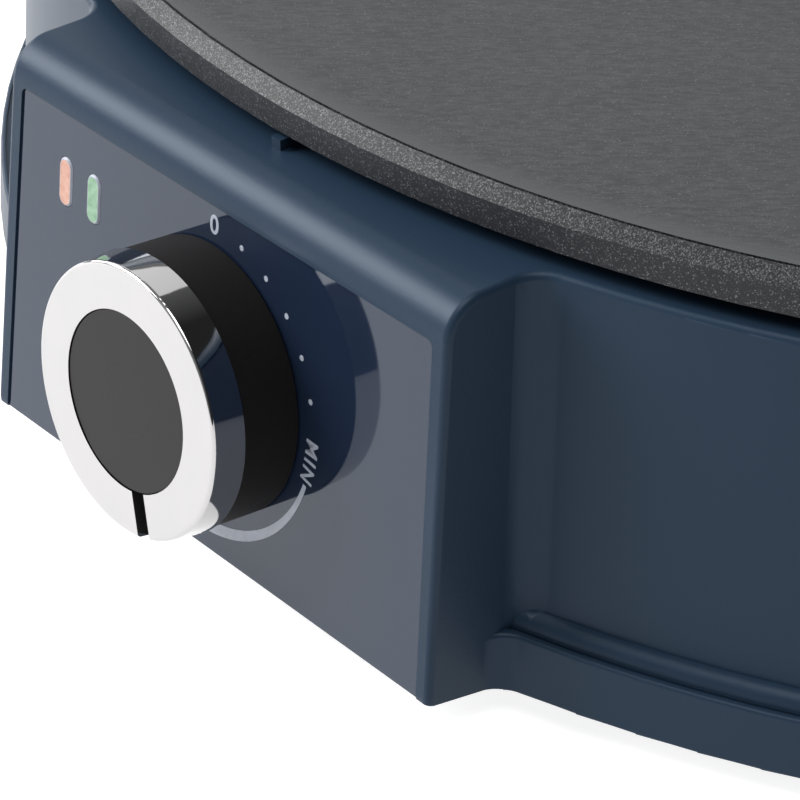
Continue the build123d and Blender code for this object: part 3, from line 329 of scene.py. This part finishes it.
# The painted pale rim begins and is full at these distances from the pill's middle
# line, which is as long as the window's straight sides.
RIM_INNER, RIM_OUTER = 0.00108, 0.00124
HALF_STRAIGHT = 0.00224
for name, deep, pale in (("power_lens", "#9A6353", "#BA9787"), ("ready_lens", "#447150", "#8AA68E")):
    lens_low, lens_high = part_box(name)
    middle = (lens_low[0] + lens_high[0]) / 2
    acrylic, tree, shader, place = new_material(
        "tinted_acrylic_" + name, Roughness=0.34, IOR=1.49, Specular_IOR_Level=0.22, Coat_Weight=0.08
    )
    spot = add(tree, "ShaderNodeSeparateXYZ", {"Vector": place})
    up = add(tree, "ShaderNodeMath", {0: spot.outputs["Z"], 1: window_z}, operation="SUBTRACT")
    beyond = add(tree, "ShaderNodeMath", {0: up.outputs["Value"]}, operation="ABSOLUTE")
    past_end = add(
        tree, "ShaderNodeMath", {0: beyond.outputs["Value"], 1: HALF_STRAIGHT}, operation="SUBTRACT"
    )
    end = add(tree, "ShaderNodeMath", {0: past_end.outputs["Value"], 1: 0.0}, operation="MAXIMUM")
    across = add(tree, "ShaderNodeMath", {0: spot.outputs["X"], 1: middle}, operation="SUBTRACT")
    flat = add(tree, "ShaderNodeCombineXYZ", {"X": across.outputs["Value"], "Y": end.outputs["Value"]})
    away = add(tree, "ShaderNodeVectorMath", {0: flat.outputs["Vector"]}, operation="LENGTH")
    # Painted highlight: towards its edge the lens is painted a pale grey, for the light that runs out at the
    # bevelled rim.
    painted_rim_highlight = add(
        tree, "ShaderNodeMapRange",
        {"Value": away.outputs["Value"], "From Min": RIM_INNER, "From Max": RIM_OUTER},
    )
    swirl = add(tree, "ShaderNodeTexNoise", {"Vector": place, "Scale": grains(1.111), "Detail": 3.0})
    blot = add(tree, "ShaderNodeMapRange", {"Value": swirl.outputs["Fac"], "From Min": 0.1, "From Max": 0.8})
    body = add(
        tree, "ShaderNodeMix", {"Factor": blot.outputs["Result"], "A": linear(deep), "B": linear(pale)},
        data_type="RGBA",
    )
    tint = add(
        tree, "ShaderNodeMix",
        {"Factor": painted_rim_highlight.outputs["Result"], "A": body.outputs["Result"], "B": linear("#8E929D")},
        data_type="RGBA",
    )
    tree.links.new(tint.outputs["Result"], shader.inputs["Base Color"])
    dress(acrylic, name)


# ------------------------------------------------------------------ knob
# The grip is a hollow black ABS moulding with a dull eroded skin. A die-cast ring,
# polished and chromed, snaps over its front, with the pointer slit cut through to
# the black. A dark satin disc fills the ring.
grip, tree, shader, place = new_material("eroded_black_abs", Roughness=0.62, IOR=1.5, Specular_IOR_Level=0.12)
pits = add(tree, "ShaderNodeTexNoise", {"Vector": place, "Scale": grains(0.5556), "Detail": 2.0})
tint = add(
    tree, "ShaderNodeMix", {"Factor": pits.outputs["Fac"], "A": linear("#0D0C0C"), "B": linear("#171516")},
    data_type="RGBA",
)
tree.links.new(tint.outputs["Result"], shader.inputs["Base Color"])
bump = add(tree, "ShaderNodeBump", {"Height": pits.outputs["Fac"], "Strength": 0.15, "Distance": 0.0002})
tree.links.new(bump.outputs["Normal"], shader.inputs["Normal"])
dress(grip, "knob_body")

chrome, tree, shader, place = new_material("chrome_plate", Metallic=1.0)
haze = add(tree, "ShaderNodeTexNoise", {"Vector": place, "Scale": grains(8.33), "Detail": 3.0})
tint = add(
    tree, "ShaderNodeMix", {"Factor": haze.outputs["Fac"], "A": linear("#B6B5B5"), "B": linear("#BCBABA")},
    data_type="RGBA",
)
tree.links.new(tint.outputs["Result"], shader.inputs["Base Color"])
gloss = add(tree, "ShaderNodeMapRange", {"Value": haze.outputs["Fac"], "To Min": 0.03, "To Max": 0.07})
tree.links.new(gloss.outputs["Result"], shader.inputs["Roughness"])
# A polished ring's side is upright and mirrors the panel. The solid's side tapers a
# little, so its shading normal is leaned back by as much.
RING_TAPER = 0.11
facing = add(tree, "ShaderNodeNewGeometry")
leaned = add(
    tree, "ShaderNodeVectorMath",
    {0: facing.outputs["Normal"], 1: tuple(-OUT * RING_TAPER)},
    operation="ADD",
)
upright = add(tree, "ShaderNodeVectorMath", {0: leaned.outputs["Vector"]}, operation="NORMALIZE")
tree.links.new(upright.outputs["Vector"], shader.inputs["Normal"])
dress(chrome, "knob_ring")

disc, tree, shader, place = new_material("satin_anodised_disc", Metallic=1.0, Roughness=0.36)
from_centre = add(tree, "ShaderNodeVectorMath", {0: place, 1: tuple(KNOB_CENTRE)}, operation="SUBTRACT")
reach = add(tree, "ShaderNodeVectorMath", {0: from_centre.outputs["Vector"]}, operation="LENGTH")
# The turned rings are about 0.1 mm apart; they are drawn at 0.17 mm so that they show.
rings = add(
    tree, "ShaderNodeTexNoise", {"W": reach.outputs["Value"], "Scale": grains(0.1667)},
    noise_dimensions="1D",
)
tint = add(
    tree, "ShaderNodeMix", {"Factor": rings.outputs["Fac"], "A": linear("#292829"), "B": linear("#302F30")},
    data_type="RGBA",
)
tree.links.new(tint.outputs["Result"], shader.inputs["Base Color"])
bump = add(tree, "ShaderNodeBump", {"Height": rings.outputs["Fac"], "Strength": 0.012, "Distance": 0.0001})
tree.links.new(bump.outputs["Normal"], shader.inputs["Normal"])
dress(disc, "knob_cap")


# ------------------------------------------------------------------ bottom cover
# A pressed steel cover with slots for cooling air, dipped in black paint that
# leaves a slight orange-peel skin, and thinner at its cut edges.
paint, tree, shader, place = new_material("black_stove_paint", Roughness=0.45, IOR=1.5, Coat_Weight=0.2)
peel = add(tree, "ShaderNodeTexNoise", {"Vector": place, "Scale": grains(2), "Detail": 2.0})
dust = add(tree, "ShaderNodeTexNoise", {"Vector": place, "Scale": grains(45), "Detail": 5.0})
tint = add(
    tree, "ShaderNodeMix", {"Factor": dust.outputs["Fac"], "A": linear("#1A1A1C"), "B": linear("#2A2A2C")},
    data_type="RGBA",
)
tree.links.new(tint.outputs["Result"], shader.inputs["Base Color"])
bump = add(tree, "ShaderNodeBump", {"Height": peel.outputs["Fac"], "Strength": 0.12, "Distance": 0.0003})
tree.links.new(bump.outputs["Normal"], shader.inputs["Normal"])
dress(paint, "bottom_cover")


# ------------------------------------------------------------------ feet
# Four feet of black nitrile rubber, pushed through the cover. Compression moulding
# leaves them matt with a dusting of grey bloom.
rubber, tree, shader, place = new_material("nitrile_rubber", Roughness=0.82, IOR=1.52)
bloom = add(tree, "ShaderNodeTexNoise", {"Vector": place, "Scale": grains(3.8), "Detail": 5.0})
tint = add(
    tree, "ShaderNodeMix", {"Factor": bloom.outputs["Fac"], "A": linear("#121212"), "B": linear("#2B2B2A")},
    data_type="RGBA",
)
tree.links.new(tint.outputs["Result"], shader.inputs["Base Color"])
bump = add(tree, "ShaderNodeBump", {"Height": bloom.outputs["Fac"], "Strength": 0.3, "Distance": 0.0003})
tree.links.new(bump.outputs["Normal"], shader.inputs["Normal"])
dress(rubber, "foot_front_left", "foot_front_right", "foot_back_left", "foot_back_right")


# ------------------------------------------------------------------ cord gland
# A nylon gland and its nut clamp the wall where the mains cord enters. Both are
# moulded in black nylon with a faint dry sheen.
nylon, tree, shader, place = new_material("black_nylon", Roughness=0.5, IOR=1.53)
flow = add(tree, "ShaderNodeTexNoise", {"Vector": place, "Scale": grains(2.9), "Detail": 4.0})
tint = add(
    tree, "ShaderNodeMix", {"Factor": flow.outputs["Fac"], "A": linear("#131314"), "B": linear("#232325")},
    data_type="RGBA",
)
tree.links.new(tint.outputs["Result"], shader.inputs["Base Color"])
bump = add(tree, "ShaderNodeBump", {"Height": flow.outputs["Fac"], "Strength": 0.12, "Distance": 0.0003})
tree.links.new(bump.outputs["Normal"], shader.inputs["Normal"])
dress(nylon, "cord_gland", "gland_nut")


# ------------------------------------------------------------------ fasteners
# Screws, studs, nuts, washers, spacers, the sensor's clip and the thermostat's
# bracket and shaft are mild steel, zinc plated and passivated, so they are bright
# with a faint cloudy bloom.
zinc, tree, shader, place = new_material("zinc_plated_steel", Metallic=1.0)
cloud = add(tree, "ShaderNodeTexNoise", {"Vector": place, "Scale": grains(2.5), "Detail": 5.0})
tint = add(
    tree, "ShaderNodeMix", {"Factor": cloud.outputs["Fac"], "A": linear("#A3A6A8"), "B": linear("#C9CCCE")},
    data_type="RGBA",
)
tree.links.new(tint.outputs["Result"], shader.inputs["Base Color"])
dull = add(tree, "ShaderNodeMapRange", {"Value": cloud.outputs["Fac"], "To Min": 0.24, "To Max": 0.42})
tree.links.new(dull.outputs["Result"], shader.inputs["Roughness"])
dress(
    zinc, "cover_screws", "plate_studs", "plate_washers", "plate_nuts", "lower_spacers", "upper_spacers",
    "bulb_clip", "underside_screws", "thermostat_bracket", "bracket_screws", "thermostat_shaft",
    "block_screw",
)


# ------------------------------------------------------------------ reflector
# A dish pressed from aluminised steel sheet that throws the element's heat up. The
# hot-dip coat is bright, with rolling lines and a pale spangle.
aluminised, tree, shader, place = new_material("aluminised_steel", Metallic=1.0, Roughness=0.3)
# The rolling lines are about 8 mm long and 0.6 mm wide.
LINE_LENGTH_MM = 8.33
LINE_WIDTH_MM = 0.595
rolled = add(
    tree, "ShaderNodeMapping", {"Vector": place, "Scale": (1.0, LINE_LENGTH_MM / LINE_WIDTH_MM, 1.0)}
)
lines = add(
    tree, "ShaderNodeTexNoise",
    {"Vector": rolled.outputs["Vector"], "Scale": grains(LINE_LENGTH_MM), "Detail": 3.0},
)
tint = add(
    tree, "ShaderNodeMix", {"Factor": lines.outputs["Fac"], "A": linear("#B9BBBC"), "B": linear("#D9DBDC")},
    data_type="RGBA",
)
tree.links.new(tint.outputs["Result"], shader.inputs["Base Color"])
bump = add(tree, "ShaderNodeBump", {"Height": lines.outputs["Fac"], "Strength": 0.05, "Distance": 0.0002})
tree.links.new(bump.outputs["Normal"], shader.inputs["Normal"])
dress(aluminised, "reflector")


# ------------------------------------------------------------------ heating element
# A nickel-alloy tube packed with magnesia, bent to an open ring in the plate's
# channel. Annealing turns the sheath dark olive grey and blotchy.
sheath, tree, shader, place = new_material("annealed_alloy_sheath", Metallic=1.0, Roughness=0.55)
blotch = add(tree, "ShaderNodeTexNoise", {"Vector": place, "Scale": grains(11), "Detail": 6.0})
tint = add(
    tree, "ShaderNodeMix", {"Factor": blotch.outputs["Fac"], "A": linear("#3A3934"), "B": linear("#625E54")},
    data_type="RGBA",
)
tree.links.new(tint.outputs["Result"], shader.inputs["Base Color"])
bump = add(tree, "ShaderNodeBump", {"Height": blotch.outputs["Fac"], "Strength": 0.1, "Distance": 0.0002})
tree.links.new(bump.outputs["Normal"], shader.inputs["Normal"])
dress(sheath, "heating_element")


# ------------------------------------------------------------------ ceramic pieces
# The element's bushes, the safety cut-out and the terminal block are pressed and
# fired steatite: off-white, dry and very slightly speckled.
steatite, tree, shader, place = new_material("fired_steatite", Roughness=0.55, IOR=1.6)
fleck = add(tree, "ShaderNodeTexNoise", {"Vector": place, "Scale": grains(1.25), "Detail": 4.0})
tint = add(
    tree, "ShaderNodeMix", {"Factor": fleck.outputs["Fac"], "A": linear("#D6D0C1"), "B": linear("#EFEADF")},
    data_type="RGBA",
)
tree.links.new(tint.outputs["Result"], shader.inputs["Base Color"])
bump = add(tree, "ShaderNodeBump", {"Height": fleck.outputs["Fac"], "Strength": 0.1, "Distance": 0.0002})
tree.links.new(bump.outputs["Normal"], shader.inputs["Normal"])
dress(steatite, "element_bushes", "safety_cutout", "terminal_block")


# ------------------------------------------------------------------ heat sensor
# The thermostat's bulb and its capillary are drawn copper, filled and crimped, and
# browned a little by handling.
copper, tree, shader, place = new_material("drawn_copper", Metallic=1.0)
tarnish = add(tree, "ShaderNodeTexNoise", {"Vector": place, "Scale": grains(6.7), "Detail": 5.0})
tint = add(
    tree, "ShaderNodeMix", {"Factor": tarnish.outputs["Fac"], "A": linear("#9A5535"), "B": linear("#D08A63")},
    data_type="RGBA",
)
tree.links.new(tint.outputs["Result"], shader.inputs["Base Color"])
dull = add(tree, "ShaderNodeMapRange", {"Value": tarnish.outputs["Fac"], "To Min": 0.22, "To Max": 0.45})
tree.links.new(dull.outputs["Result"], shader.inputs["Roughness"])
dress(copper, "sensor_bulb", "capillary_tube")


# ------------------------------------------------------------------ thermostat
# The thermostat's case is a brown phenolic moulding with wood-flour flecks, and its
# two tabs are punched brass.
phenolic, tree, shader, place = new_material("brown_phenolic", Roughness=0.42, IOR=1.55)
flour = add(tree, "ShaderNodeTexNoise", {"Vector": place, "Scale": grains(1.7), "Detail": 5.0})
tint = add(
    tree, "ShaderNodeMix", {"Factor": flour.outputs["Fac"], "A": linear("#3F2A1C"), "B": linear("#6A4A33")},
    data_type="RGBA",
)
tree.links.new(tint.outputs["Result"], shader.inputs["Base Color"])
bump = add(tree, "ShaderNodeBump", {"Height": flour.outputs["Fac"], "Strength": 0.08, "Distance": 0.0002})
tree.links.new(bump.outputs["Normal"], shader.inputs["Normal"])
dress(phenolic, "thermostat_body")

brass, tree, shader, place = new_material("punched_brass", Metallic=1.0, Roughness=0.28)
streak = add(tree, "ShaderNodeTexNoise", {"Vector": place, "Scale": grains(2), "Detail": 3.0})
tint = add(
    tree, "ShaderNodeMix", {"Factor": streak.outputs["Fac"], "A": linear("#B8924A"), "B": linear("#DDB96C")},
    data_type="RGBA",
)
tree.links.new(tint.outputs["Result"], shader.inputs["Base Color"])
dress(brass, "thermostat_terminals")


# ------------------------------------------------------------------ lamps
# Two small neon lamps of clear glass sit in a natural nylon holder behind the
# lenses.
natural, tree, shader, place = new_material("natural_nylon", Roughness=0.5, IOR=1.53)
milk = add(tree, "ShaderNodeTexNoise", {"Vector": place, "Scale": grains(3.3), "Detail": 3.0})
tint = add(
    tree, "ShaderNodeMix", {"Factor": milk.outputs["Fac"], "A": linear("#D9D6CB"), "B": linear("#ECEAE2")},
    data_type="RGBA",
)
tree.links.new(tint.outputs["Result"], shader.inputs["Base Color"])
dress(natural, "lamp_holder")

glass, tree, shader, place = new_material(
    "lamp_glass", Roughness=0.05, IOR=1.5, Transmission_Weight=0.8, Alpha=0.6
)
drawn = add(tree, "ShaderNodeTexNoise", {"Vector": place, "Scale": grains(5), "Detail": 2.0})
tint = add(
    tree, "ShaderNodeMix", {"Factor": drawn.outputs["Fac"], "A": linear("#E6E2DC"), "B": linear("#F6F3EE")},
    data_type="RGBA",
)
tree.links.new(tint.outputs["Result"], shader.inputs["Base Color"])
dress(glass, "power_lamp", "ready_lamp")


# ------------------------------------------------------------------ table and light
# The object stands on an opal acrylic table that is lit from below, which keeps its
# shadow faint. A strong soft lamp stands at the front left, one hangs overhead, and
# two weak ones fill from the left and the back left; the right side stays dark.
floor_form = bmesh.new()
bmesh.ops.create_grid(floor_form, x_segments=1, y_segments=1, size=6.0)
floor_mesh = bpy.data.meshes.new("table")
floor_form.to_mesh(floor_mesh)
floor_form.free()
table = bpy.data.objects.new("table", floor_mesh)
bpy.context.scene.collection.objects.link(table)
white, tree, shader, place = new_material(
    "opal_acrylic_table", Roughness=0.7, IOR=1.4, Emission_Color=linear("#FFFFFF"), Emission_Strength=0.86
)
veil = add(tree, "ShaderNodeTexNoise", {"Vector": place, "Scale": grains(333), "Detail": 2.0})
tint = add(
    tree, "ShaderNodeMix", {"Factor": veil.outputs["Fac"], "A": linear("#A4A4A5"), "B": linear("#A8A8A9")},
    data_type="RGBA",
)
tree.links.new(tint.outputs["Result"], shader.inputs["Base Color"])
floor_mesh.materials.append(white)

world = bpy.data.worlds.new("studio")
world.use_nodes = True
tree = world.node_tree
background = tree.nodes["Background"]
background.inputs["Color"].default_value = linear("#F9FCFF")
sky = add(tree, "ShaderNodeTexCoord")
BRIGHT_SIDE = (-0.75, -0.60, 0.0)
toward = add(
    tree, "ShaderNodeVectorMath", {0: sky.outputs["Generated"], 1: BRIGHT_SIDE}, operation="DOT_PRODUCT"
)
glow = add(
    tree, "ShaderNodeMapRange",
    {"Value": toward.outputs["Value"], "From Min": -0.5, "To Min": 0.03, "To Max": 0.56},
)
tree.links.new(glow.outputs["Result"], background.inputs["Strength"])
bpy.context.scene.world = world


def softbox(name, stand, target, size, power):
    """A square area lamp that faces a point."""
    lamp = bpy.data.lights.new(name, "AREA")
    lamp.shape = "SQUARE"
    lamp.size = size
    lamp.energy = power
    holder = bpy.data.objects.new(name, lamp)
    bpy.context.scene.collection.objects.link(holder)
    holder.location = stand
    holder.rotation_euler = (Vector(target) - Vector(stand)).to_track_quat("-Z", "Y").to_euler()


softbox("front_left", stand=(-0.95, -0.95, 0.85), target=(0.0, -0.15, 0.05), size=0.85, power=33.0)
softbox("back_left", stand=(-1.3, 0.9, 1.1), target=(0.0, 0.0, 0.05), size=1.4, power=5.6)
softbox("left", stand=(-1.5, -0.3, 0.6), target=(0.0, 0.0, 0.05), size=0.8, power=9.0)
softbox("top", stand=(0.3, -0.5, 1.8), target=(0.0, -0.2, 0.0), size=1.2, power=22.0)
bpy.context.scene.view_settings.view_transform = "Standard"

# A long lens looks down at the control box from the front right.
CAMERA = Vector((0.35597, -0.44878, 0.30793))
AIM = Vector((-0.65024, 0.54015, -0.53426))
camera_data = bpy.data.cameras.new("camera")
camera_data.lens = 171.43
camera_data.sensor_width = 36.0
camera_data.clip_start = 0.01
camera = bpy.data.objects.new("camera", camera_data)
bpy.context.scene.collection.objects.link(camera)
camera.location = CAMERA
camera.rotation_euler = AIM.to_track_quat("-Z", "Y").to_euler()
bpy.context.scene.camera = camera
